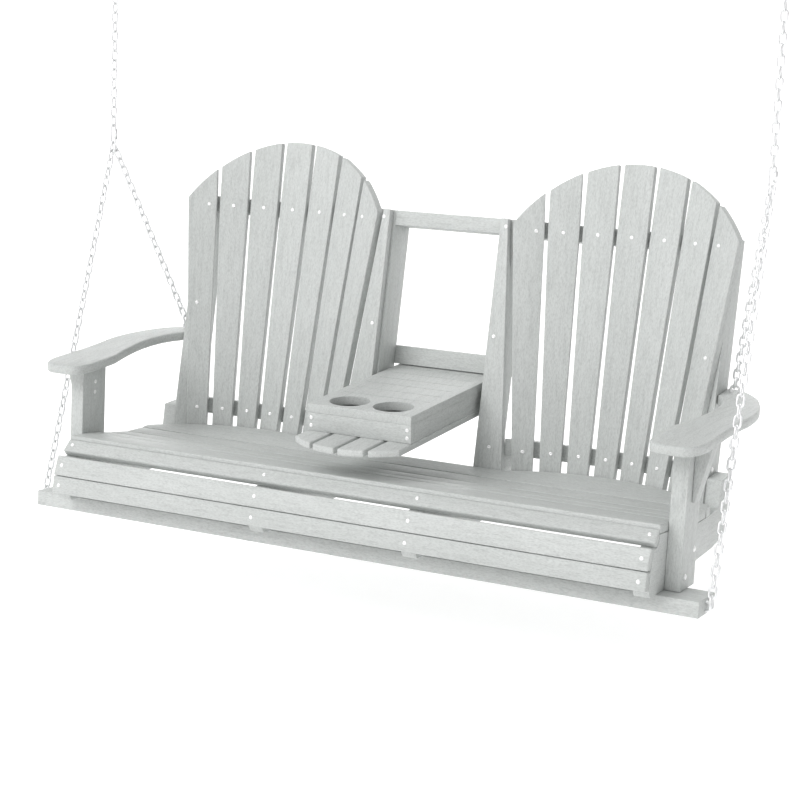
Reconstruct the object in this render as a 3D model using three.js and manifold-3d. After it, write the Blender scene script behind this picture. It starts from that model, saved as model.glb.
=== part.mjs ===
// Porch swing with two fanned backs, a folding middle console and chain hangers.
// Millimetres, +Z up. The origin lies midway between the two ceiling hooks, on the
// line that the upper chains swing about. The seat is drawn in its own level frame
// (X to the sitter's left, Y rearward) inside a group that hangs tilted back.

import * as THREE from 'three';
import { mergeVertices } from 'three/addons/utils/BufferGeometryUtils.js';
import Module from 'manifold-3d';

const wasm = await Module();
wasm.setup();

// ---- Driving sizes -------------------------------------------------------------

const clearance = 0.3;          // between faces that touch
const frameT = 32;              // posts, supports, uprights, crossbars and beam
const slatT = 18;               // slats and console boards
const armT = 20;

const beamOverhang = 53;        // beam past each arm post
const beamWidth = 92;
const beamFrontY = 53;
const beamTopZ = -81;
const consoleBayHalf = 127.8;   // middle of the swing to the console uprights

const seatSlatGap = 3.3;
const seatSlatWidth = 60;
const seatSlatCount = 4;
const seatFrontY = 74;
const noseGap = 0.3;            // nose slat to the lower corner of the first seat slat
const rearSlatGap = 1.2;        // rear seat slat to the fanned backs and console frame

const reclineSlope = 0.137;     // lean of every upright, rearward per unit of height
const uprightFootY = 404.9;     // where the uprights' front plane meets seat height zero
const uprightDepth = 74;
const uprightTop = 573;         // along the leaning upright, from height zero
const uprightFoot = -25;
const hornDepth = 59.4;         // rear end of each support, beside its upright
const hornTop = 80;
const hornRise = 14;

const fanInnerReach = 244.7;    // middle of each fanned back to the console upright, without
                                // the reach of an edge slat's thickness
const fanOuterReach = 200.9;    // and to the outer upright
const fanSlatCount = 7;
const fanPitch = THREE.MathUtils.degToRad(7.62);
const fanRearY = 467.2;         // rear edges of the edge slats, brought to the fan's middle
const fanFootZ = 81.9;
const fanLean = 0.14;
const fanRadius = 451;          // of the ring that the slats stand on
const fanFlare = 0.221;         // growth of that ring with height
const fanBottom = -75;
const slatHalfWidthLow = 24;
const slatHalfWidthHigh = 33.5;
const taperLow = 20;
const taperHigh = 470;
const crownDrop = 241;          // centre of the round of the slat tips, below the upright tops
const crownRadius = 292;
const fanFit = 0.8;             // slat corners to the crossbars' round
const crossbarDepth = 37;       // behind the middle slat
const crossbarReach = 70;       // stock in front of it, cut away by the slats' round
const crossbarHeight = 35;
const lowerCrossbar = -16.5;
const upperCrossbarDrop = 121;  // below the upright tops

const armFrontY = 52;
const armFrontZ = 211;
const armTilt = THREE.MathUtils.degToRad(5.45);
const armLength = 462;
const armInnerOverhang = 38;    // front of the arm past the inner face of its post
const armOuterOverhang = 39;
const armBulge = 10;
const armCorner = 36;
const armNose = 24;             // front edge past the straight sides
const armWaist = 27;            // inner side's curve away from the seat
const postFrontY = 96.5;
const postWidth = 82;
const gussetOverhang = 33;
const gussetHeight = 110;
const gussetSetback = 29.5;     // behind the front of the post

const consoleSideGap = 7.8;
const consoleLength = 434;
const consoleHeight = 57;
const consoleFrontY = 107.7;
const consoleFrontZ = 183;
const consoleFrontT = 14;       // front board
const cupRadius = 42.5;
const cupX = 51;
const cupSetback = 57;
const grooveCount = 6;
const groovePitch = 52.5;
const grooveStart = 124;
const grooveMargin = 19;        // groove ends to the console's sides
const grooveWidth = 2.6;
const grooveDepth = 3;
const pivotDepth = 32;          // console pivot below the console top
const pivotRadius = 5;
const pivotHold = 20;           // pivot rod inside each console upright
const stopClearance = 0.3;      // folded underside to the top rail
const underSlatT = 14;
const underSlatTip = 98;        // middle of the under slats past the console front
const underSlatRound = 174;
const underSlatGap = 8.5;
const lowerRailTop = 277.6;
const lowerRailGap = 2.5;       // lower rail over the console
const consoleSlatReveal = 5.2;  // of the upright beside the console frame slat
const consoleSlatLap = 7.9;     // its foot past the inner support
const consoleSlatTopInset = 9.8;  // its top inside the console upright's outer face
const consoleSlatFoot = 26;

const hangTilt = THREE.MathUtils.degToRad(1.05);  // lean that puts its weight under the links
const linkOutset = 1;           // quick links to the beam's end planes
const linkY = 305;              // one upper and two lower chains meet in each
const linkZ = 700;
const upperChain = 410;         // hook wire to quick link
const chainRadius = 9;
const chainSides = 8;
const pivotGap = 2;             // quick link pivot to each chain end
const frontEyeReach = 9.5;      // past the beam end
const frontEyeSetback = 39;
const rearEyeInset = 23.3;      // outer support's inner face to the eye on the arm
const rearEyeY = 486;
const rearEyeRise = 13.6;       // above the arm
const hookRadius = 16;
const hookWire = 4;
const hookDrop = 18;
const plateRadius = 30;
const plateT = 6;

// ---- Colours -------------------------------------------------------------------

const boardGrey = { color: 0xc2c5c3, roughness: 0.62, metalness: 0 };
const steel = { color: 0xc9cbcd, roughness: 0.28, metalness: 1 };

// ---- Derived places ------------------------------------------------------------

// Boards of the frame, side by side across the seat.
const board = (x) => [x, x + frameT];
const consoleUprightX = board(consoleBayHalf);
const innerSupportX = board(consoleUprightX[1] + clearance);
const fanEdge = fanPitch * (fanSlatCount - 1) / 2;
const fanX = consoleUprightX[1] + fanInnerReach + slatT * Math.sin(fanEdge);
const fanFootY = fanRearY - slatT * Math.cos(fanEdge);  // front of the middle slat's foot
const outerUprightX = board(fanX + fanOuterReach);
const outerSupportX = board(outerUprightX[1] + clearance);
const postX = board(outerSupportX[1] + clearance);
const beamHalf = postX[1] + beamOverhang;
const seatHalf = outerSupportX[1];
const linkX = beamHalf + linkOutset;

const recline = Math.atan(reclineSlope);
const slatPitch = seatSlatWidth + seatSlatGap;
const crownHeight = uprightTop - crownDrop;
const upperCrossbar = uprightTop - upperCrossbarDrop;
const consoleHalf = consoleBayHalf - consoleSideGap;
const grooveHalfLength = consoleHalf - grooveMargin;
const consoleSlatInner = consoleBayHalf + consoleSlatReveal;
const consoleSlatFootX = innerSupportX[1] + consoleSlatLap;
const consoleSlatTopX = consoleUprightX[1] - consoleSlatTopInset;
const armFrontX = postX[0] - armInnerOverhang;
const armOuterX = postX[1] + armOuterOverhang;
const armBulgeX = armOuterX + armBulge;
const gussetY = postFrontY + gussetSetback;

// ---- Small helpers -------------------------------------------------------------

// A closed mesh as a manifold solid.
function toSolid(geometry) {
  const bare = geometry.clone();
  bare.deleteAttribute('normal');
  bare.deleteAttribute('uv');
  const merged = mergeVertices(bare, 1e-4);
  const vertProperties = new Float32Array(merged.attributes.position.array);
  const triVerts = new Uint32Array(merged.index.array);
  return new wasm.Manifold(new wasm.Mesh({ numProp: 3, vertProperties, triVerts }));
}

// A manifold solid as a three.js geometry with flat faces.
function toGeometry(solid) {
  const mesh = solid.getMesh();
  const indexed = new THREE.BufferGeometry();
  indexed.setAttribute('position', new THREE.BufferAttribute(mesh.vertProperties, 3));
  indexed.setIndex(new THREE.BufferAttribute(mesh.triVerts, 1));
  const geometry = indexed.toNonIndexed();
  geometry.computeVertexNormals();
  return geometry;
}

// An outline extruded from a start plane. The outline's x and y run along across and up.
function prism(outline, depth, origin, across, up) {
  const flat = outline instanceof THREE.Shape;
  const shape = flat ? outline : new THREE.Shape(outline.map(([x, y]) => new THREE.Vector2(x, y)));
  const geometry = new THREE.ExtrudeGeometry(shape, { depth, bevelEnabled: false, curveSegments: 8 });
  const away = new THREE.Vector3().crossVectors(across, up);
  geometry.applyMatrix4(new THREE.Matrix4().makeBasis(across, up, away).setPosition(origin));
  return toSolid(geometry);
}

const axisX = new THREE.Vector3(1, 0, 0);
const axisY = new THREE.Vector3(0, 1, 0);
const axisZ = new THREE.Vector3(0, 0, 1);

// A side profile in Y and Z, extruded from x0 to x1.
function profileX([x0, x1], outline) {
  return prism(outline, x1 - x0, new THREE.Vector3(x0, 0, 0), axisY, axisZ);
}

// A round bar between two points, with flat ends.
function bar(from, to, radius, sides) {
  const start = new THREE.Vector3(...from);
  const path = new THREE.Vector3(...to).sub(start);
  const geometry = new THREE.CylinderGeometry(radius, radius, path.length(), sides);
  geometry.translate(0, path.length() / 2, 0);
  geometry.applyQuaternion(new THREE.Quaternion().setFromUnitVectors(axisY, path.clone().normalize()));
  geometry.translate(start.x, start.y, start.z);
  return toSolid(geometry);
}

const swing = new THREE.Group();
const seat = new THREE.Group();
seat.rotation.x = -hangTilt;
seat.position.set(0, 0, -upperChain).sub(new THREE.Vector3(0, linkY, linkZ).applyEuler(seat.rotation));
swing.add(seat);

function add(name, solid, look = boardGrey, group = seat) {
  const mesh = new THREE.Mesh(toGeometry(solid), new THREE.MeshStandardMaterial(look));
  mesh.name = name;
  group.add(mesh);
}

// One piece on each side: drawn on the left (+X) and mirrored to the right.
function addPair(name, solid, look, group) {
  add(`${name}_left`, solid, look, group);
  add(`${name}_right`, solid.mirror([1, 0, 0]), look, group);
}

// ---- Frames of the leaning and tilted pieces -------------------------------------

const leanUp = new THREE.Vector3(0, Math.sin(recline), Math.cos(recline));
const leanBack = new THREE.Vector3(0, Math.cos(recline), -Math.sin(recline));

// A point of the uprights: depth behind their front plane, and height along them.
function leaning(depth, height) {
  const point = leanBack.clone().multiplyScalar(depth).addScaledVector(leanUp, height);
  return [uprightFootY + point.y, point.z];
}

// A point of the console: along its top from the front edge, and down from the top.
function consolePoint(along, down) {
  return [
    consoleFrontY + along * Math.cos(armTilt) + down * Math.sin(armTilt),
    consoleFrontZ + along * Math.sin(armTilt) - down * Math.cos(armTilt),
  ];
}

// The top of the seat: a dished curve through the slat edges.
const seatCurve = [52.5, 49, 40.5, 34.5, 35.5];
const rearSlatRise = 0.1;

function seatNode(index) {
  return [seatFrontY + index * slatPitch, seatCurve[index]];
}

// The inner face of a board lying on an outer line, one thickness in and a clearance.
function inset([y0, z0], [y1, z1], distance) {
  const length = Math.hypot(y1 - y0, z1 - z0);
  const offset = [(z1 - z0) / length * distance, -(y1 - y0) / length * distance];
  return [[y0 + offset[0], z0 + offset[1]], [y1 + offset[0], z1 + offset[1]]];
}

// A point on the line from one point to another.
function between([y0, z0], [y1, z1], share) {
  return [y0 + (y1 - y0) * share, z0 + (z1 - z0) * share];
}

// Where two lines cross, each given by two points.
function crossing([a0, a1], [b0, b1]) {
  const run = [a1[0] - a0[0], a1[1] - a0[1]];
  const side = [b1[1] - b0[1], b0[0] - b1[0]];
  const share = ((b0[0] - a0[0]) * side[0] + (b0[1] - a0[1]) * side[1]) / (run[0] * side[0] + run[1] * side[1]);
  return between(a0, a1, share);
}

const lowerFront = [[-9, -64], [-4.5, -26.5]];
const upperFront = [[-5, -25.2], [10, 16]];
const noseFront = [[27, 23.5], [50.9, 46.3]];
const frontSlitShare = 0.1;     // keeps the slit between the front slats parallel
const nosePlumb = [noseFront[1], [noseFront[1][0], 0]];

// The first seat slat is the widest. It reaches forward over the nose slat's plumb end.
function seatFront() {
  const lowerCorner = inset(seatNode(0), seatNode(1), slatT)[0][0];
  const share = (noseFront[1][0] + noseGap - lowerCorner) / slatPitch;
  return between(seatNode(0), seatNode(1), share);
}

const rearSlatFront = seatNode(seatSlatCount);
const rearSlatY = (z) => rearSlatFront[1] + rearSlatRise * (z - rearSlatFront[0]);

// ---- Seat ------------------------------------------------------------------------

function buildFrontBeam() {
  const z0 = beamTopZ - frameT;
  const outline = [[beamFrontY, z0], [beamFrontY + beamWidth, z0],
    [beamFrontY + beamWidth, beamTopZ], [beamFrontY, beamTopZ]];
  add('front_beam', profileX([-beamHalf, beamHalf], outline));
}

function supportOutline() {
  const fit = slatT + clearance;
  const underSeat = [];
  for (let index = seatSlatCount; index > 0; index -= 1) {
    const [y, z] = seatNode(index);
    underSeat.push([y, z - fit - 0.2]);
  }
  const noseEnd = nosePlumb.map(([y, z]) => [y + clearance, z]);
  const [frontY, frontZ] = seatFront();
  const hornFoot = leaning(0, rearSlatY(uprightFootY) - fit);
  return [
    [20, beamTopZ + clearance], [170, beamTopZ + clearance], [286, -60], [383, -54],
    leaning(hornDepth, -30), leaning(hornDepth, hornTop + hornRise), leaning(0, hornTop), hornFoot,
    ...underSeat, [frontY, frontZ - fit - 0.2], [noseEnd[0][0], frontZ - fit - 0.2],
    crossing(inset(...noseFront, fit), noseEnd), inset(...noseFront, fit)[0],
    inset(...upperFront, fit)[1], crossing(inset(...upperFront, fit), inset(...lowerFront, fit)),
    inset(...lowerFront, fit)[0],
  ];
}

function buildSupports() {
  addPair('seat_support_outer', profileX(outerSupportX, supportOutline()));
  addPair('seat_support_inner', profileX(innerSupportX, supportOutline()));
}

function buildFrontSlats() {
  const width = [-seatHalf, seatHalf];
  add('front_slat_lower', profileX(width, [...lowerFront, ...inset(...lowerFront, slatT).reverse()]));
  const [upperFoot, upperHead] = inset(...upperFront, slatT);
  const slitFoot = between(upperFoot, upperHead, frontSlitShare);
  add('front_slat_upper', profileX(width, [...upperFront, upperHead, slitFoot]));
  const inner = inset(...noseFront, slatT);
  add('seat_nose_slat', profileX(width, [...noseFront, crossing(inner, nosePlumb), inner[0]]));
}

function buildSeatSlats() {
  for (let index = 0; index < seatSlatCount; index += 1) {
    const start = index === 0 ? seatFront() : seatNode(index);
    const face = [start, between(seatNode(index), seatNode(index + 1), seatSlatWidth / slatPitch)];
    const outline = [...face, ...inset(...face, slatT).reverse()];
    add(`seat_slat_${index + 1}`, profileX([-seatHalf, seatHalf], outline));
  }
}

// Front face of the fanned back at a distance across from the fan's middle.
function fanFaceY(across, z) {
  const height = (z - fanFootZ) / Math.sqrt(1 - fanLean ** 2);
  const radius = fanRadius + fanFlare * height;
  return fanFootY + fanLean * height - radius + Math.sqrt(radius ** 2 - across ** 2);
}

// The rear seat slat: straight behind the console, round along each fanned back.
function buildRearSeatSlat() {
  const meetX = consoleSlatFootX + 2;
  const steps = 14;
  const underside = rearSlatFront[1] - slatT;
  const edge = [];
  for (let step = 0; step <= steps; step += 1) {
    const x = meetX + (seatHalf - meetX) * step / steps;
    edge.push([x, fanFaceY(x - fanX, underside) - rearSlatGap]);
  }
  const [straightY] = leaning(-slatT - clearance - rearSlatGap, consoleSlatFoot);
  const rear = [...edge.slice().reverse(), [meetX, straightY], [-meetX, straightY],
    ...edge.map(([x, y]) => [-x, y])];
  const frontY = rearSlatFront[0];
  const outline = [[-seatHalf, frontY], [seatHalf, frontY], ...rear];
  const local = outline.map(([x, y]) => [x, y - frontY]);
  const up = new THREE.Vector3(0, 1, rearSlatRise).normalize();
  const away = new THREE.Vector3().crossVectors(axisX, up);
  const origin = new THREE.Vector3(0, ...rearSlatFront).addScaledVector(away, -slatT);
  add('seat_slat_rear', prism(local, slatT, origin, axisX, up));
}

// ---- Fanned backs ----------------------------------------------------------------

// Frame of one slat: a point at fan height zero on its front face and its three directions.
function slatFrame(angle) {
  const rise = Math.sqrt(1 - fanLean ** 2);
  const along = new THREE.Vector3(fanFlare * Math.sin(angle), fanLean - fanFlare * (1 - Math.cos(angle)), rise);
  along.normalize();
  const tangent = new THREE.Vector3(Math.cos(angle), -Math.sin(angle), 0);
  const across = tangent.addScaledVector(along, -tangent.dot(along)).normalize();
  const forward = new THREE.Vector3().crossVectors(across, along);
  const foot = new THREE.Vector3(
    fanX + fanRadius * Math.sin(angle), fanFootY - fanRadius * (1 - Math.cos(angle)), fanFootZ);
  return { along, across, forward, foot };
}

function slatHalfWidth(height) {
  const share = (Math.min(height, taperHigh) - taperLow) / (taperHigh - taperLow);
  return slatHalfWidthLow + (slatHalfWidthHigh - slatHalfWidthLow) * share;
}

// Height at which the crown round cuts a slat, at a distance across the slat.
function tipHeight(angle, across) {
  let height = crownHeight;
  for (let pass = 0; pass < 12; pass += 1) {
    const offset = (fanRadius + fanFlare * height) * Math.sin(angle) + across * Math.cos(angle);
    height = crownHeight + Math.sqrt(crownRadius ** 2 - offset ** 2);
  }
  return height;
}

function slatOutline(angle) {
  const right = slatHalfWidth(tipHeight(angle, slatHalfWidthHigh));
  const left = -slatHalfWidth(tipHeight(angle, -slatHalfWidthHigh));
  const foot = slatHalfWidth(fanBottom);
  const outline = [[-foot, fanBottom], [foot, fanBottom]];
  if (tipHeight(angle, right) > taperHigh + 1) outline.push([slatHalfWidthHigh, taperHigh]);
  const steps = 8;
  for (let step = 0; step <= steps; step += 1) {
    const across = right + (left - right) * step / steps;
    outline.push([across, tipHeight(angle, across)]);
  }
  if (tipHeight(angle, left) > taperHigh + 1) outline.push([-slatHalfWidthHigh, taperHigh]);
  return outline;
}

function slatAngle(index) {
  return index * fanPitch - fanEdge;
}

function buildFanSlats() {
  for (let index = 0; index < fanSlatCount; index += 1) {
    const angle = slatAngle(index);
    const { along, across, forward, foot } = slatFrame(angle);
    const origin = foot.clone().addScaledVector(forward, -slatT);
    addPair(`back_slat_${index + 1}`, prism(slatOutline(angle), slatT, origin, across, along));
  }
}

// Everything in front of the back faces of the slats, as one convex solid to cut with.
function fanEnvelope() {
  const reach = THREE.MathUtils.degToRad(40);
  const rise = Math.sqrt(1 - fanLean ** 2);
  const points = [];
  for (const height of [fanBottom - 60, crownHeight + crownRadius]) {
    const ring = fanRadius + fanFlare * height;
    const back = Math.hypot(ring + slatT / rise, slatHalfWidth(height)) + fanFit;
    for (let step = -12; step <= 12; step += 1) {
      const angle = reach * step / 12;
      points.push([fanX + back * Math.sin(angle),
        fanFootY + fanLean * height - ring + back * Math.cos(angle), fanFootZ + rise * height]);
    }
  }
  return wasm.Manifold.hull(points);
}

function buildCrossbars() {
  const envelope = fanEnvelope();
  const rise = Math.sqrt(1 - fanLean ** 2);
  const rear = slatT + crossbarDepth;
  const front = -crossbarReach;
  const bars = [['lower', lowerCrossbar, innerSupportX[1]], ['upper', upperCrossbar, consoleUprightX[1]]];
  for (const [name, height, innerX] of bars) {
    const corner = (depth, level) => [
      fanFootY + fanLean * level + rise * depth, fanFootZ + rise * level - fanLean * depth];
    const outline = [corner(front, height), corner(rear, height),
      corner(rear, height + crossbarHeight), corner(front, height + crossbarHeight)];
    const stock = profileX([innerX + clearance, outerUprightX[0] - clearance], outline);
    const bar = stock.subtract(envelope).trimByPlane(leanBack.toArray(), leanBack.y * uprightFootY);
    addPair(`back_crossbar_${name}`, bar);
  }
}

// Outer uprights: the front face is bevelled to lie against the outermost slat.
function buildOuterUprights() {
  const outline = [leaning(-6, uprightFoot), leaning(uprightDepth, uprightFoot),
    leaning(uprightDepth, uprightTop), leaning(-6, uprightTop)];
  const { forward, foot } = slatFrame(slatAngle(fanSlatCount - 1));
  const behind = forward.clone().negate();
  const plane = behind.dot(foot) + slatT + clearance;
  addPair('back_upright_outer', profileX(outerUprightX, outline).trimByPlane(behind.toArray(), plane));
}

// ---- Arms ------------------------------------------------------------------------

const armAlong = new THREE.Vector3(0, Math.cos(armTilt), Math.sin(armTilt));
const armUp = new THREE.Vector3(0, -Math.sin(armTilt), Math.cos(armTilt));
const armCornerPoint = new THREE.Vector3(0, armFrontY, armFrontZ);

function armUnderside(y) {
  return armFrontZ + (y - armFrontY) * Math.tan(armTilt) - (armT + clearance) / Math.cos(armTilt);
}

// The arm's outline: along is measured from the front of its straight sides.
function armOutline() {
  const wallX = outerSupportX[0];
  const shape = new THREE.Shape();
  shape.moveTo(wallX, armLength);
  shape.lineTo(wallX, armLength - 66);
  shape.bezierCurveTo(wallX + armWaist + 28, armLength - 132, wallX + armWaist + 1, armLength - 244,
    armFrontX + 5, 118);
  shape.quadraticCurveTo(armFrontX, 70, armFrontX + 1, 20);
  shape.quadraticCurveTo(armFrontX + 3, -armNose, armFrontX + armCorner, -armNose);
  shape.lineTo(armOuterX - armCorner, -armNose);
  shape.quadraticCurveTo(armOuterX - 6, -armNose + 4, armOuterX, armCorner);
  shape.lineTo(armOuterX, 134);
  shape.quadraticCurveTo(armOuterX + 3, 200, armBulgeX, 240);
  shape.bezierCurveTo(armBulgeX + 5, 300, armOuterX + 6, 345, armOuterX - 19, armLength - 63);
  shape.quadraticCurveTo(armOuterX - 40, armLength - 28, wallX + 28, armLength);
  return shape;
}

function buildArms() {
  const origin = armCornerPoint.clone().addScaledVector(armUp, -armT);
  addPair('arm', prism(armOutline(), armT, origin, axisX, armAlong));
}

function buildPosts() {
  const rearY = postFrontY + postWidth;
  const foot = beamTopZ + clearance;
  const outline = [[postFrontY, foot], [rearY, foot], [rearY, armUnderside(rearY)],
    [postFrontY, armUnderside(postFrontY)]];
  addPair('arm_post', profileX(postX, outline));
}

function buildGussets() {
  const innerX = postX[1] + clearance;
  const topZ = armUnderside(gussetY) + frameT;
  const footZ = armUnderside(gussetY) - gussetHeight;
  const outline = [[innerX, footZ], [innerX + 6, footZ], [innerX + gussetOverhang, topZ - frameT - 6],
    [innerX + gussetOverhang, topZ], [innerX, topZ]];
  const stock = prism(outline, frameT, new THREE.Vector3(0, gussetY + frameT, 0), axisX, axisZ);
  const plane = -armUp.dot(armCornerPoint) + armT + clearance;
  addPair('arm_gusset', stock.trimByPlane(armUp.clone().negate().toArray(), plane));
}

// ---- Console frame ---------------------------------------------------------------

// The console pivot: below the console top, and as far behind the plane of the top
// rail as the under slats lie below it, so that they fold flat against the rail.
function pivotPlace() {
  const target = consoleHeight + clearance - pivotDepth + stopClearance;
  const [y, z] = consolePoint(0, pivotDepth);
  const depth = leanBack.dot(new THREE.Vector3(0, y - uprightFootY, z));
  return (target - depth) / leanBack.dot(armAlong);
}

const pivotAlong = pivotPlace();
const [pivotY, pivotZ] = consolePoint(pivotAlong, pivotDepth);

function pivotHole(x0, x1) {
  return bar([x0, pivotY, pivotZ], [x1, pivotY, pivotZ], pivotRadius + clearance, 32);
}

function buildConsoleFrame() {
  const sides = [leaning(0, uprightFoot), leaning(uprightDepth, uprightFoot),
    leaning(uprightDepth, uprightTop), leaning(0, uprightTop)];
  const hole = pivotHole(consoleBayHalf - 1, consoleBayHalf + pivotHold + clearance);
  addPair('console_upright', profileX(consoleUprightX, sides).subtract(hole));

  const railHalf = consoleBayHalf - clearance;
  const topRail = [leaning(0, uprightTop - frameT), leaning(uprightDepth, uprightTop - frameT),
    leaning(uprightDepth, uprightTop), leaning(0, uprightTop)];
  add('console_top_rail', profileX([-railHalf, railHalf], topRail));

  const front = uprightDepth + clearance;
  const overConsole = [consolePoint(0, -lowerRailGap), consolePoint(1, -lowerRailGap)];
  const onConsole = (depth) => crossing([leaning(depth, 0), leaning(depth, 1)], overConsole);
  const lowerRail = [onConsole(front), onConsole(front + frameT),
    leaning(front + frameT, lowerRailTop), leaning(front, lowerRailTop)];
  add('console_lower_rail', profileX([-consoleUprightX[1], consoleUprightX[1]], lowerRail));
}

function buildConsoleSlats() {
  const origin = new THREE.Vector3(0, uprightFootY, 0).addScaledVector(leanBack, -clearance);
  const outline = [[consoleSlatInner, consoleSlatFoot], [consoleSlatFootX, consoleSlatFoot],
    [consoleSlatTopX, uprightTop], [consoleSlatInner, uprightTop]];
  addPair('console_frame_slat', prism(outline, slatT, origin, axisX, leanUp));
}

// ---- Folding console -------------------------------------------------------------

const consoleDown = armUp.clone().negate();
const consoleOrigin = new THREE.Vector3(0, consoleFrontY, consoleFrontZ);

// A console board: x range, range along the console and range down from its top.
function consoleBoard([x0, x1], [a0, a1], [d0, d1]) {
  const outline = [[a0, d0], [a1, d0], [a1, d1], [a0, d1]].map(([along, down]) => consolePoint(along, down));
  return profileX([x0, x1], outline.reverse());
}

// A cutter square to the console top, standing on a point of it.
function cupHole(x) {
  const middle = consoleOrigin.clone().setX(x).addScaledVector(armAlong, cupSetback);
  const above = middle.clone().addScaledVector(armUp, 5);
  const below = middle.clone().addScaledVector(armUp, -slatT - 5);
  return bar(above.toArray(), below.toArray(), cupRadius, 64);
}

function buildConsoleTop() {
  let top = consoleBoard([-consoleHalf, consoleHalf], [0, consoleLength], [0, slatT]);
  top = top.subtract(cupHole(cupX)).subtract(cupHole(-cupX));
  for (let index = 0; index < grooveCount; index += 1) {
    const start = grooveStart + index * groovePitch;
    const run = [start, start + grooveWidth];
    top = top.subtract(consoleBoard([-grooveHalfLength, grooveHalfLength], run, [-1, grooveDepth]));
  }
  add('console_top', top);
}

function buildConsoleBox() {
  const depth = [slatT + clearance, consoleHeight];
  add('console_front', consoleBoard([-consoleHalf, consoleHalf], [0, consoleFrontT], depth));
  const run = [consoleFrontT + clearance, consoleLength];
  const side = consoleBoard([consoleHalf - slatT, consoleHalf], run, depth);
  addPair('console_side', side.subtract(pivotHole(consoleHalf - slatT - 1, consoleHalf + 1)));
  const rodHalf = consoleBayHalf + pivotHold;
  add('console_pivot_rod', bar([-rodHalf, pivotY, pivotZ], [rodHalf, pivotY, pivotZ], pivotRadius, 24), steel);
}

// Four slats under the console. Folded up they are the middle backrest, and their
// round front ends become its crown.
function buildUnderSlats() {
  const count = 4;
  const width = (2 * consoleHalf - (count - 1) * underSlatGap) / count;
  const tip = (x) => underSlatRound - underSlatTip - Math.sqrt(underSlatRound ** 2 - x ** 2);
  for (let index = 0; index < count; index += 1) {
    const x0 = -consoleHalf + index * (width + underSlatGap);
    const outline = [[x0 + width, consoleLength], [x0, consoleLength]];
    const steps = 6;
    for (let step = 0; step <= steps; step += 1) {
      const x = x0 + width * step / steps;
      outline.push([x, tip(x)]);
    }
    const down = consoleHeight + clearance + underSlatT;
    const origin = consoleOrigin.clone().addScaledVector(consoleDown, down);
    add(`console_under_slat_${index + 1}`, prism(outline, underSlatT, origin, axisX, armAlong));
  }
}

// ---- Chains and ceiling hooks ------------------------------------------------------

// Two lower chains from the beam end and the arm's rear end, meeting at the quick link.
function buildLowerChains() {
  const frontEye = [beamHalf + frontEyeReach, beamFrontY + frontEyeSetback, beamTopZ - frameT / 2];
  const armTop = armFrontZ + (rearEyeY - armFrontY) * Math.tan(armTilt);
  const rearEye = [outerSupportX[0] + rearEyeInset, rearEyeY, armTop + rearEyeRise];
  const top = new THREE.Vector3(linkX, linkY, linkZ);
  const below = new THREE.Vector3(0, -Math.sin(hangTilt), Math.cos(hangTilt)).multiplyScalar(-pivotGap);
  const meet = top.clone().add(below).toArray();
  const front = bar(frontEye, meet, chainRadius, chainSides);
  const rear = bar(rearEye, meet, chainRadius, chainSides);
  const level = new THREE.Vector3(0, -Math.sin(hangTilt), Math.cos(hangTilt));
  const plane = -level.dot(new THREE.Vector3(...meet));
  addPair('lower_chain', front.add(rear).trimByPlane(level.negate().toArray(), plane), steel);
}

function buildUpperChains() {
  const top = [linkX, 0, -hookWire - pivotGap];
  const bottom = [linkX, 0, -upperChain + pivotGap];
  addPair('upper_chain', bar(top, bottom, chainRadius, chainSides), steel, swing);
}

// A round ceiling plate with a ring below it. The chain swings on the ring's lowest point.
function buildHooks() {
  const ring = new THREE.TorusGeometry(hookRadius, hookWire, 12, 32);
  ring.rotateX(Math.PI / 2);
  ring.translate(linkX, 0, hookRadius);
  const stemFoot = [linkX, 0, 2 * hookRadius];
  const plateZ = 2 * hookRadius + hookDrop;
  const stem = bar(stemFoot, [linkX, 0, plateZ + 1], hookWire + 1, 24);
  const plate = bar([linkX, 0, plateZ], [linkX, 0, plateZ + plateT], plateRadius, 48);
  addPair('ceiling_hook', toSolid(ring).add(stem).add(plate), steel, swing);
}

buildFrontBeam();
buildSupports();
buildFrontSlats();
buildSeatSlats();
buildRearSeatSlat();
buildFanSlats();
buildCrossbars();
buildOuterUprights();
buildArms();
buildPosts();
buildGussets();
buildConsoleFrame();
buildConsoleSlats();
buildConsoleTop();
buildConsoleBox();
buildUnderSlats();
buildLowerChains();
buildUpperChains();
buildHooks();

export default swing;
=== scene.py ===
"""Porch swing: materials, chains, fittings, floor, light and camera on the CAD frame."""

import math

import bmesh
import bpy
from mathutils import Matrix, Vector


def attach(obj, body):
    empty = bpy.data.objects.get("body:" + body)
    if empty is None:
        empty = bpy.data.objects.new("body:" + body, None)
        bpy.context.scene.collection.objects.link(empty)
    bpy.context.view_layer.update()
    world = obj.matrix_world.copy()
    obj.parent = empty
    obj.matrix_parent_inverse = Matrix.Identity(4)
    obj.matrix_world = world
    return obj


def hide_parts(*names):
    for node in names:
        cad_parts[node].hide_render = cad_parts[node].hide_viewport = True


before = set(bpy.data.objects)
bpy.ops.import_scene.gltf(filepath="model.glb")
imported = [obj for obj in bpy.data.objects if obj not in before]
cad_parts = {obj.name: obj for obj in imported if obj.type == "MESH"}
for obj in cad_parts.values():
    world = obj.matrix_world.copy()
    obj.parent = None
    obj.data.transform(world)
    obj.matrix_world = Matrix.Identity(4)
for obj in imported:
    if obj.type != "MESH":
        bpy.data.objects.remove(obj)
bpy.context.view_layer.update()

# ---- Driving values, in millimetres as in the CAD source -------------------------

HANG_TILT = math.radians(1.05)
UPPER_CHAIN = 410
LINK = (763, 305, 700)
FRONT_EYE = (771.5, 92, -97)
REAR_EYE = (668, 486, 266)
HOOK_WIRE = 4             # radius

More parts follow.
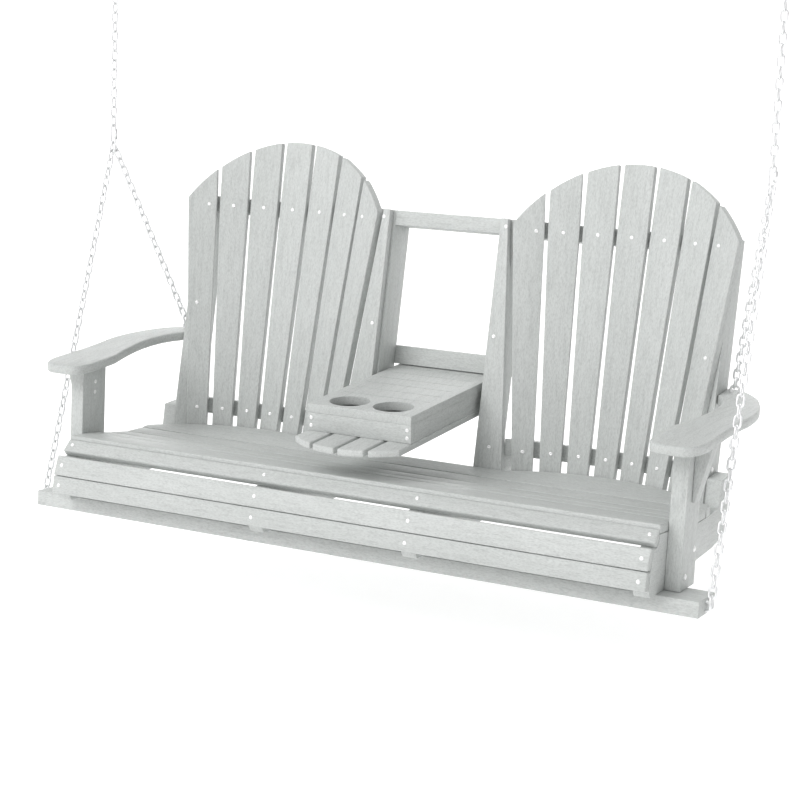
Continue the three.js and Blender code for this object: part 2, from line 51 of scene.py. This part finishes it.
CHAIN_WIRE = 2.4          # radius
CHAIN_WIDTH = 18          # over the outside of a link
CHAIN_PITCH = 20.3
QUICK_WIRE = 2.5          # radius
QUICK_HALF = 21           # middle of a quick link to its end wires
QUICK_SIDE = 6            # and to its side wires
EYE_WIRE = 2.8            # radius
EYE_RADIUS = 9            # to the middle of the wire

RECLINE = math.atan(0.137)
UPRIGHT_FOOT_Y = 404.9
FAN_X = 411.5
FAN_FOOT = (450.6, 81.9)
FAN_LEAN = 0.14
FAN_RADIUS = 451
FAN_FLARE = 0.221
FAN_PITCH = math.radians(7.62)
CONSOLE_FRONT = (107.7, 183)
CONSOLE_TILT = math.radians(5.45)
SLAT_T = 18
BOARD_GAP = 0.3
OUTER_SUPPORT_X = 660.7
INNER_SUPPORT_X = 176.1

FLOOR_Z = -290            # in the seat's own frame

# ---- Fastener places in the seat's own frame, left half, in millimetres ---------------

SUPPORT_SCREWS = (        # (y, z) of a head over a seat support, and the way it faces
    ((40, 35.9), (-0.69, 0.724)),
    ((3.0, -3.2), (-0.94, 0.342)),
    ((-6.9, -46), (-0.993, 0.119)),
)
FAN_SLATS = 7
FAN_SCREW_HEIGHT = 470    # up the slat, over the upper crossbar
FAN_SCREW_SHIFT = 16      # inwards on the two edge slats
FAN_EDGE_SCREW = (242, 7)             # height and shift of the screw into the outer upright
FRAME_SLAT_SCREWS = ((165, 84), (147, 320), (147, 556))   # x, height up the console frame slat
CONSOLE_SCREW_X = 111
CONSOLE_SCREW_DROPS = (29.5, 46)      # down the console's front board
ARM_POST_SCREW_X = 677
ARM_POST_SCREWS = ((140.5, 162), (139.5, 139))            # y, z on the post's inner face
CARRIAGE_BOLTS = ((709, 162, -8), (709, 117.5, -55), (644.4, 446, 93))

SEAT_FRAME = (
    Matrix.Translation((0, 0, -UPPER_CHAIN / 1000))
    @ Matrix.Rotation(-HANG_TILT, 4, "X")
    @ Matrix.Translation((0, -LINK[1] / 1000, -LINK[2] / 1000))
)


def seat_point(x, y, z):
    """A point of the seat's own frame in the row frame, in metres."""
    return SEAT_FRAME @ (Vector((x, y, z)) / 1000)


def seat_direction(x, y, z):
    """A direction of the seat's own frame in the row frame."""
    return (SEAT_FRAME.to_3x3() @ Vector((x, y, z))).normalized()


# ---- Camera ------------------------------------------------------------------------

CAMERA_SENSOR = 36
CAMERA_LENS = 85.8
CAMERA_REACH = 100        # metres
CAMERA_PLACE = (1792.3, -3270.9, 818.6)
CAMERA_RIGHT = (0.88876, 0.45572, 0.04914)
CAMERA_UP = (-0.11526, 0.11843, 0.98625)


def make_camera():
    """The camera, placed in the seat's own frame."""
    data = bpy.data.cameras.new("camera")
    data.sensor_width = CAMERA_SENSOR
    data.lens = CAMERA_LENS
    data.clip_end = CAMERA_REACH
    camera = bpy.data.objects.new("camera", data)
    right = seat_direction(*CAMERA_RIGHT)
    up = seat_direction(*CAMERA_UP)
    back = right.cross(up)
    turn = Matrix((right, up, back)).transposed().to_4x4()
    camera.matrix_world = Matrix.Translation(seat_point(*CAMERA_PLACE)) @ turn
    bpy.context.collection.objects.link(camera)
    bpy.context.scene.camera = camera


# ---- Materials -----------------------------------------------------------------------

BOARD_GREY = (0.545, 0.562, 0.552)
FLECK_SCALE = (150, 520, 520)         # noise per metre: along, across and through the board
STREAK_SCALE = (22, 170, 170)
CLOUD_SCALE = (3, 9, 9)
FLECK_DARK = 0.84
FLECK_LIGHT = 1.10
STREAK_STOPS = ((0.33, (0.89, 0.89, 0.89)), (0.5, (0.98, 0.98, 0.98)), (0.68, (1, 1, 1)))
CLOUD_STOPS = ((0.3, (0.93, 0.935, 0.93)), (0.7, (1, 1, 1)))
BOARD_ROUGHNESS = 0.58
BOARD_ROUGH_LOW = 0.48
BOARD_ROUGH_HIGH = 0.66
STEEL = (0.93, 0.935, 0.94)
SCREW_STEEL = (0.96, 0.96, 0.96)
STEEL_METALLIC = 0.85
STEEL_MOTTLE_DULL = 0.86


def new_material(name, colour, metallic, roughness):
    """A material with one principled shader, and its node tree."""
    material = bpy.data.materials.new(name)
    material.use_nodes = True
    material.diffuse_color = (*colour, 1)
    shader = material.node_tree.nodes["Principled BSDF"]
    shader.inputs["Base Color"].default_value = (*colour, 1)
    shader.inputs["Metallic"].default_value = metallic
    shader.inputs["Roughness"].default_value = roughness
    return material, material.node_tree, shader


def add_node(tree, kind, **settings):
    """A node with its settings and the values of its named inputs."""
    node = tree.nodes.new(kind)
    for key, value in settings.items():
        if hasattr(node, key):
            setattr(node, key, value)
        else:
            node.inputs[key.replace("_", " ")].default_value = value
    return node


def grain_noise(tree, place, scale, detail, roughness):
    """Noise drawn out along the board: scale is along, across and through it."""
    mapping = add_node(tree, "ShaderNodeMapping")
    mapping.inputs["Scale"].default_value = scale
    tree.links.new(place, mapping.inputs["Vector"])
    noise = add_node(tree, "ShaderNodeTexNoise", Scale=1.0, Detail=detail, Roughness=roughness)
    tree.links.new(mapping.outputs["Vector"], noise.inputs["Vector"])
    return noise.outputs["Fac"]


def ramp(tree, value, stops):
    """A colour ramp over a value: stops are (position, colour)."""
    node = add_node(tree, "ShaderNodeValToRGB")
    elements = node.color_ramp.elements
    while len(elements) < len(stops):
        elements.new(0.5)
    for element, (position, colour) in zip(elements, stops):
        element.position = position
        element.color = (*colour, 1)
    tree.links.new(value, node.inputs["Fac"])
    return node.outputs["Color"]


def board_material(name, along, tone=1.0):
    """Grey board lumber: embossed grain and fine fibre flecks that run along the board."""
    base = [value * tone for value in BOARD_GREY]
    material, tree, shader = new_material(name, base, 0, BOARD_ROUGHNESS)
    turn = along.to_track_quat("X", "Z").inverted().to_euler()
    place = add_node(tree, "ShaderNodeTexCoord")
    mapping = add_node(tree, "ShaderNodeMapping")
    mapping.inputs["Rotation"].default_value = turn
    tree.links.new(place.outputs["Object"], mapping.inputs["Vector"])
    board = mapping.outputs["Vector"]

    flecks = grain_noise(tree, board, FLECK_SCALE, 3, 0.65)
    streaks = grain_noise(tree, board, STREAK_SCALE, 4, 0.6)
    clouds = grain_noise(tree, board, CLOUD_SCALE, 3, 0.5)
    dark = [value * FLECK_DARK for value in base]
    light = [min(1, value * FLECK_LIGHT) for value in base]
    fleck_colour = ramp(tree, flecks, [(0.32, dark), (0.5, base), (0.70, light)])
    streak_colour = ramp(tree, streaks, STREAK_STOPS)
    cloud_colour = ramp(tree, clouds, CLOUD_STOPS)
    colour = fleck_colour
    for factor in (streak_colour, cloud_colour):
        mix = add_node(tree, "ShaderNodeMix", data_type="RGBA", blend_type="MULTIPLY")
        mix.inputs["Factor"].default_value = 1
        tree.links.new(colour, mix.inputs["A"])
        tree.links.new(factor, mix.inputs["B"])
        colour = mix.outputs["Result"]
    tree.links.new(colour, shader.inputs["Base Color"])

    shine = add_node(tree, "ShaderNodeMapRange")
    shine.inputs["To Min"].default_value = BOARD_ROUGH_HIGH
    shine.inputs["To Max"].default_value = BOARD_ROUGH_LOW
    tree.links.new(streaks, shine.inputs["Value"])
    tree.links.new(shine.outputs["Result"], shader.inputs["Roughness"])

    emboss = add_node(tree, "ShaderNodeBump", Strength=0.35, Distance=0.0006)
    tree.links.new(streaks, emboss.inputs["Height"])
    fibre = add_node(tree, "ShaderNodeBump", Strength=0.3, Distance=0.00025)
    tree.links.new(flecks, fibre.inputs["Height"])
    tree.links.new(emboss.outputs["Normal"], fibre.inputs["Normal"])
    tree.links.new(fibre.outputs["Normal"], shader.inputs["Normal"])
    return material


def steel_material(name, colour, roughness):
    """Bright plated steel with faint mottling and tiny scratches."""
    material, tree, shader = new_material(name, colour, STEEL_METALLIC, roughness)
    place = add_node(tree, "ShaderNodeTexCoord").outputs["Object"]
    mottle = grain_noise(tree, place, (260, 260, 260), 4, 0.6)
    dull = [value * STEEL_MOTTLE_DULL for value in colour]
    tree.links.new(ramp(tree, mottle, [(0.35, dull), (0.65, colour)]), shader.inputs["Base Color"])
    spread = add_node(tree, "ShaderNodeMapRange")
    spread.inputs["To Min"].default_value = roughness + 0.12
    spread.inputs["To Max"].default_value = roughness - 0.08
    tree.links.new(mottle, spread.inputs["Value"])
    tree.links.new(spread.outputs["Result"], shader.inputs["Roughness"])
    scratches = grain_noise(tree, place, (900, 900, 240), 2, 0.5)
    bump = add_node(tree, "ShaderNodeBump", Strength=0.12, Distance=0.0001)
    tree.links.new(scratches, bump.inputs["Height"])
    tree.links.new(bump.outputs["Normal"], shader.inputs["Normal"])
    return material


# ---- Boards ----------------------------------------------------------------------------

WELD_DISTANCE = 0.00002
FLAT_ANGLE = math.radians(0.6)        # faces closer than this to one plane are merged
CORNER_ANGLE = math.radians(34)       # edges sharper than this are eased
METAL_EDGE = 0.0006
PLAIN_EDGE = 0.0018
BOARD_EDGES = {
    "arm_post": 0.0015,
    "arm_gusset": 0.0015,
    "arm": 0.004,
    "back_slat": 0.002,
    "seat_nose": 0.004,
    "seat_slat": 0.003,
    "front_slat": 0.003,
    "console_under": 0.0025,
    "console_top": 0.0005,
    "console_side": 0.0004,
    "console_front": 0.001,
}


def longest_direction(obj):
    """The direction of a board's length, from the spread of its corners."""
    corners = [obj.matrix_world @ vertex.co for vertex in obj.data.vertices]
    middle = sum(corners, Vector()) / len(corners)
    direction = Vector((0.4, 0.5, 0.7))
    for _ in range(24):
        direction = sum(((c - middle) * (c - middle).dot(direction) for c in corners), Vector())
        direction.normalize()
    return direction


def round_edges(obj, width):
    """Eased edges: corners are welded, flat faces merged and sharp edges bevelled."""
    weld = obj.modifiers.new("weld", "WELD")
    weld.merge_threshold = WELD_DISTANCE
    flat = obj.modifiers.new("flat", "DECIMATE")
    flat.decimate_type = "DISSOLVE"
    flat.angle_limit = FLAT_ANGLE
    bevel = obj.modifiers.new("bevel", "BEVEL")
    bevel.width = width
    bevel.segments = 3
    bevel.limit_method = "ANGLE"
    bevel.angle_limit = CORNER_ANGLE
    bevel.harden_normals = True


def board_edge(name):
    """Edge radius of a board, by the start of its name."""
    for start, width in BOARD_EDGES.items():
        if name.startswith(start):
            return width
    return PLAIN_EDGE


def finish_boards(steel):
    """Gives each CAD node its material and eased edges."""
    metal = ("ceiling_hook", "console_pivot_rod")
    for index, (name, obj) in enumerate(sorted(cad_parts.items())):
        if "chain" in name:
            continue
        for polygon in obj.data.polygons:
            polygon.use_smooth = True
        obj.data.materials.clear()
        if name.startswith(metal):
            obj.data.materials.append(steel)
            round_edges(obj, METAL_EDGE)
            continue
        tone = 0.975 + 0.05 * ((index * 7) % 11) / 10
        obj.data.materials.append(board_material(f"grey_{name}", longest_direction(obj), tone))
        round_edges(obj, board_edge(name))


# ---- Pieces built from meshes ---------------------------------------------------------------


def side_name(side):
    """The end of a piece's name on the left (1) or right (-1) half."""
    return "left" if side > 0 else "right"


def make_piece(name, mesh_data, material, body):
    """An object from bmesh data, in the row frame, riding on a CAD body."""
    mesh = bpy.data.meshes.new(name)
    bmesh.ops.recalc_face_normals(mesh_data, faces=mesh_data.faces)
    mesh_data.to_mesh(mesh)
    mesh_data.free()
    for polygon in mesh.polygons:
        polygon.use_smooth = True
    mesh.materials.append(material)
    obj = bpy.data.objects.new(name, mesh)
    bpy.context.collection.objects.link(obj)
    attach(obj, body)
    return obj


def add_ring(data, path, radius, sides, closed=True):
    """Adds a round wire along a path of points that lies in one plane."""
    count = len(path)
    plane = (path[1] - path[0]).cross(path[count // 2] - path[0]).normalized()
    rings = []
    for index, point in enumerate(path):
        before = path[index - 1] if closed or index else point
        after = path[(index + 1) % count] if closed or index < count - 1 else point
        outward = (after - before).normalized().cross(plane)
        ring = []
        for side in range(sides):
            angle = 2 * math.pi * side / sides
            offset = outward * math.cos(angle) + plane * math.sin(angle)
            ring.append(data.verts.new(point + offset * radius))
        rings.append(ring)
    for index in range(count if closed else count - 1):
        near, far = rings[index], rings[(index + 1) % count]
        for side in range(sides):
            turn = (side + 1) % sides
            data.faces.new((near[side], near[turn], far[turn], far[side]))
    if not closed:
        data.faces.new(rings[0])
        data.faces.new(rings[-1][::-1])


def link_path(middle, along, across, half_length, half_width, bend_steps):
    """The middle line of an oval link: two round ends joined by straight sides."""
    straight = half_length - half_width
    points = []
    for end in (1, -1):
        for step in range(bend_steps + 1):
            angle = math.pi * step / bend_steps
            reach = end * (straight + half_width * math.sin(angle))
            side = end * half_width * math.cos(angle)
            points.append(middle + along * reach + across * side)
    return points


def add_chain(data, start, end, start_wire, end_wire):
    """Adds the links of a taut chain between two wires: points and radii in metres."""
    wire = CHAIN_WIRE / 1000
    half_width = CHAIN_WIDTH / 2000 - wire
    half_length = CHAIN_PITCH / 2000 + wire
    run = end - start
    along = run.normalized()
    first = start + along * (half_length - start_wire - wire)
    last = end - along * (half_length - end_wire - wire)
    count = round((last - first).length / (CHAIN_PITCH / 1000)) + 1
    flat = along.cross(Vector((0, 1, 0))).cross(along).normalized()
    turned = along.cross(flat).normalized()
    for index in range(count):
        middle = first.lerp(last, index / (count - 1))
        across = flat if index % 2 == 0 else turned
        add_ring(data, link_path(middle, along, across, half_length, half_width, 7), wire, 8)


def make_upper_chain(side, steel):
    """Chain from the ceiling hook's ring to the quick link."""
    x = side * LINK[0] / 1000
    data = bmesh.new()
    top = Vector((x, 0, 0))
    bottom = Vector((x, 0, (QUICK_HALF - UPPER_CHAIN) / 1000))
    add_chain(data, top, bottom, HOOK_WIRE / 1000, QUICK_WIRE / 1000)
    suffix = side_name(side)
    piece = make_piece(f"upper_chain_links_{suffix}", data, steel, "upper_chains")
    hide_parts(f"upper_chain_{suffix}")


def make_lower_chains(side, steel):
    """Front leg from the beam end and rear leg from the arm, up to the quick link."""
    data = bmesh.new()
    down = Vector((0, 0, -QUICK_HALF / 1000))
    top = Vector((side * LINK[0] / 1000, 0, -UPPER_CHAIN / 1000)) + down
    for eye in (FRONT_EYE, REAR_EYE):
        low = seat_point(side * eye[0], eye[1], eye[2])
        add_chain(data, low, top, EYE_WIRE / 1000, QUICK_WIRE / 1000)
    suffix = side_name(side)
    piece = make_piece(f"lower_chain_links_{suffix}", data, steel, "seat")
    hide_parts(f"lower_chain_{suffix}")


SLEEVE_NUT = (            # low and high ends along the link, and corner radius, in metres
    (-0.010, 0.010, 0.0045),
    (-0.0115, -0.010, 0.0037),
    (0.010, 0.0115, 0.0037),
)


def make_quick_link(side, steel):
    """The oval link with a sleeve nut that joins the upper and lower chains."""
    data = bmesh.new()
    middle = Vector((side * LINK[0] / 1000, 0, -UPPER_CHAIN / 1000))
    up = Vector((0, 0, 1))
    across = Vector((1, 0, 0))
    add_ring(data, link_path(middle, up, across, QUICK_HALF / 1000, QUICK_SIDE / 1000, 10),
             QUICK_WIRE / 1000, 10)
    nut = middle + across * (QUICK_SIDE / 1000)
    for low, high, radius in SLEEVE_NUT:
        rings = [[nut + up * level + radius * Vector((math.cos(a), math.sin(a), 0))
                  for a in (math.pi * k / 3 for k in range(6))] for level in (low, high)]
        verts = [[data.verts.new(point) for point in ring] for ring in rings]
        for k in range(6):
            data.faces.new((verts[0][k], verts[0][(k + 1) % 6], verts[1][(k + 1) % 6], verts[1][k]))
        data.faces.new(verts[0][::-1])
        data.faces.new(verts[1])
    suffix = side_name(side)
    make_piece(f"quick_link_{suffix}", data, steel, "upper_chains")


SHANK = [(0, 0.0), (0.0032, 0.0), (0.0032, -0.014), (0, -0.014)]
WASHER = [(0, 0.0), (0.0085, 0.0), (0.009, -0.0008), (0.009, -0.002), (0, -0.002)]
WASHER_DEPTH = 0.0015
EYE_STEPS = 20


def add_eye_bolt(data, eye, shank, wire_plane):
    """Adds an eye and its shank: eye is its middle, shank the way into the board."""
    radius = EYE_RADIUS / 1000
    middle = eye + shank * radius
    side = shank.cross(wire_plane).normalized()
    path = []
    for step in range(EYE_STEPS):
        angle = 2 * math.pi * step / EYE_STEPS
        path.append(middle + radius * (-shank * math.cos(angle) + side * math.sin(angle)))
    add_ring(data, path, EYE_WIRE / 1000, 8)
    foot = middle + shank * radius
    add_revolved(data, foot, -shank, SHANK, 10)
    plate = foot + shank * WASHER_DEPTH
    add_revolved(data, plate, -shank, WASHER, 20)


def add_revolved(data, foot, up, profile, sides):
    """Adds a turned form: profile is (radius, height) along up from its foot, ends on the axis."""
    side = up.orthogonal().normalized()
    front = up.cross(side)
    rings = []
    for radius, height in profile:
        centre = foot + up * height
        if radius == 0:
            rings.append([data.verts.new(centre)])
            continue
        rings.append([data.verts.new(centre + radius * (side * math.cos(a) + front * math.sin(a)))
                      for a in (2 * math.pi * k / sides for k in range(sides))])
    for near, far in zip(rings, rings[1:]):
        for k in range(sides):
            turn = (k + 1) % sides
            corners = [near[k % len(near)], near[turn % len(near)], far[turn % len(far)], far[k % len(far)]]
            unique = list(dict.fromkeys(corners))
            if len(unique) > 2:
                data.faces.new(unique)


# Half sections of a screw head, with its recess, and of a carriage bolt's dome: (radius, height) in metres.
SCREW = [(0, 0.0008), (0.0009, 0.0008), (0.0013, 0.0013), (0.0030, 0.0012), (0.0043, 0.0005),
         (0.0046, -0.0006), (0, -0.0006)]
BOLT = [(0, 0.0034), (0.0025, 0.0031), (0.0048, 0.0022), (0.0062, 0.0008), (0.0066, -0.0005),
        (0, -0.0005)]


def fan_point(angle, height, across=0):
    """A point on the front of the slat at an angle of the left fan, with its outward direction."""
    rise = math.sqrt(1 - FAN_LEAN ** 2)
    radius = FAN_RADIUS + FAN_FLARE * height
    lean = FAN_LEAN - FAN_FLARE * (1 - math.cos(angle))
    along = Vector((FAN_FLARE * math.sin(angle), lean, rise)).normalized()
    tangent = Vector((math.cos(angle), -math.sin(angle), 0))
    sideways = (tangent - along * tangent.dot(along)).normalized()
    foot_y = FAN_FOOT[0] + FAN_LEAN * height - radius * (1 - math.cos(angle))
    point = Vector((FAN_X + radius * math.sin(angle), foot_y, FAN_FOOT[1] + rise * height))
    return point + sideways * across, sideways.cross(along)


def screw_places():
    """Where the left half's screws stand: (point, outward direction, on the console)."""
    places = []
    for support_x in (OUTER_SUPPORT_X, INNER_SUPPORT_X):
        for point, way in SUPPORT_SCREWS:
            places.append((Vector((support_x, *point)), Vector((0, *way)), False))
    middle_slat = FAN_SLATS // 2
    for index in range(FAN_SLATS):
        angle = (index - middle_slat) * FAN_PITCH
        inward = {0: FAN_SCREW_SHIFT, FAN_SLATS - 1: -FAN_SCREW_SHIFT}.get(index, 0)
        places.append((*fan_point(angle, FAN_SCREW_HEIGHT, inward), False))
        places.append((*fan_point(angle, 0), False))
    places.append((*fan_point(middle_slat * FAN_PITCH, *FAN_EDGE_SCREW), False))
    front = Vector((0, -math.cos(RECLINE), math.sin(RECLINE)))
    slat_face = SLAT_T + BOARD_GAP
    for x, height in FRAME_SLAT_SCREWS:
        y = UPRIGHT_FOOT_Y + height * math.sin(RECLINE) - slat_face * math.cos(RECLINE)
        z = height * math.cos(RECLINE) + slat_face * math.sin(RECLINE)
        places.append((Vector((x, y, z)), front, False))
    for down in CONSOLE_SCREW_DROPS:
        y = CONSOLE_FRONT[0] + down * math.sin(CONSOLE_TILT)
        z = CONSOLE_FRONT[1] - down * math.cos(CONSOLE_TILT)
        way = Vector((0, -math.cos(CONSOLE_TILT), -math.sin(CONSOLE_TILT)))
        places.append((Vector((CONSOLE_SCREW_X, y, z)), way, True))
    for y, z in ARM_POST_SCREWS:
        places.append((Vector((ARM_POST_SCREW_X, y, z)), Vector((-1, 0, 0)), False))
    return places


def mirrored(vector, side):
    """The same place on the left (1) or right (-1) half."""
    return Vector((side * vector.x, vector.y, vector.z))


def make_fasteners(steel):
    """Screws of the seat and console, and carriage bolts on the posts and uprights."""
    seat_screws = bmesh.new()
    console_screws = bmesh.new()
    bolts = bmesh.new()
    for side in (1, -1):
        for point, way, on_console in screw_places():
            place = seat_point(*mirrored(point, side))
            out = seat_direction(*mirrored(way, side))
            add_revolved(console_screws if on_console else seat_screws, place, out, SCREW, 16)
        for x, y, z in CARRIAGE_BOLTS:
            add_revolved(bolts, seat_point(side * x, y, z), seat_direction(side, 0, 0), BOLT, 20)
    make_piece("seat_screws", seat_screws, steel, "seat")
    make_piece("console_screws", console_screws, steel, "console")
    make_piece("carriage_bolts", bolts, steel, "seat")


def make_eye_bolts(steel):
    """Eyes in the beam ends and on the arms."""
    for side in (1, -1):
        data = bmesh.new()
        front = seat_point(side * FRONT_EYE[0], FRONT_EYE[1], FRONT_EYE[2])
        add_eye_bolt(data, front, seat_direction(-side, 0, 0), seat_direction(0, 1, 0))
        rear = seat_point(side * REAR_EYE[0], REAR_EYE[1], REAR_EYE[2])
        add_eye_bolt(data, rear, seat_direction(0, 0, -1), seat_direction(0, 1, 0))
        make_piece(f"eye_bolts_{side_name(side)}", data, steel, "seat")


# ---- Studio ----------------------------------------------------------------------------------

WORLD_LIGHT = 0.62
STAGE_SIZE = 60           # metres
FLOOR_WHITE = (0.9, 0.9, 0.9)
FLOOR_GLOW = 0.3
BACKDROP_PLACE = (-10, 25, 0)         # metres, behind the swing as the camera sees it
BACKDROP_TURN = math.radians(26)
KEY_ENERGY = 1.7
KEY_SOFTNESS = math.radians(40)
KEY_FROM = (-0.35, -0.72, 0.62)


def make_studio():
    """Pale floor and backdrop, soft key from the front left and an even fill."""
    world = bpy.data.worlds.new("world")
    world.use_nodes = True
    background = world.node_tree.nodes["Background"]
    background.inputs["Color"].default_value = (1, 1, 1, 1)
    background.inputs["Strength"].default_value = WORLD_LIGHT
    bpy.context.scene.world = world
    bpy.context.scene.view_settings.view_transform = "Standard"

    pale, _, shader = new_material("pale_floor", FLOOR_WHITE, 0, 0.9)
    shader.inputs["Emission Color"].default_value = (1, 1, 1, 1)
    shader.inputs["Emission Strength"].default_value = FLOOR_GLOW
    floor_place = (0, 0, seat_point(0, 0, FLOOR_Z).z)
    bpy.ops.mesh.primitive_plane_add(size=STAGE_SIZE, location=floor_place)
    floor = bpy.context.object
    floor.name = "floor"
    floor.data.materials.append(pale)

    white, _, glow = new_material("white_backdrop", (1, 1, 1), 0, 1)
    glow.inputs["Emission Color"].default_value = (1, 1, 1, 1)
    glow.inputs["Emission Strength"].default_value = 1
    upright = (math.pi / 2, 0, BACKDROP_TURN)
    bpy.ops.mesh.primitive_plane_add(size=STAGE_SIZE, location=BACKDROP_PLACE, rotation=upright)
    backdrop = bpy.context.object
    backdrop.name = "backdrop"
    backdrop.data.materials.append(white)

    key = bpy.data.objects.new("key", bpy.data.lights.new("key", "SUN"))
    key.data.energy = KEY_ENERGY
    key.data.angle = KEY_SOFTNESS
    key.rotation_euler = Vector(KEY_FROM).to_track_quat("Z", "Y").to_euler()
    bpy.context.collection.objects.link(key)


def main():
    make_camera()
    steel = steel_material("bright_steel", STEEL, 0.34)
    screw_steel = steel_material("screw_steel", SCREW_STEEL, 0.5)
    for side in (1, -1):
        make_upper_chain(side, steel)
        make_lower_chains(side, steel)
        make_quick_link(side, steel)
    make_eye_bolts(steel)
    finish_boards(steel)
    make_fasteners(screw_steel)
    make_studio()


main()
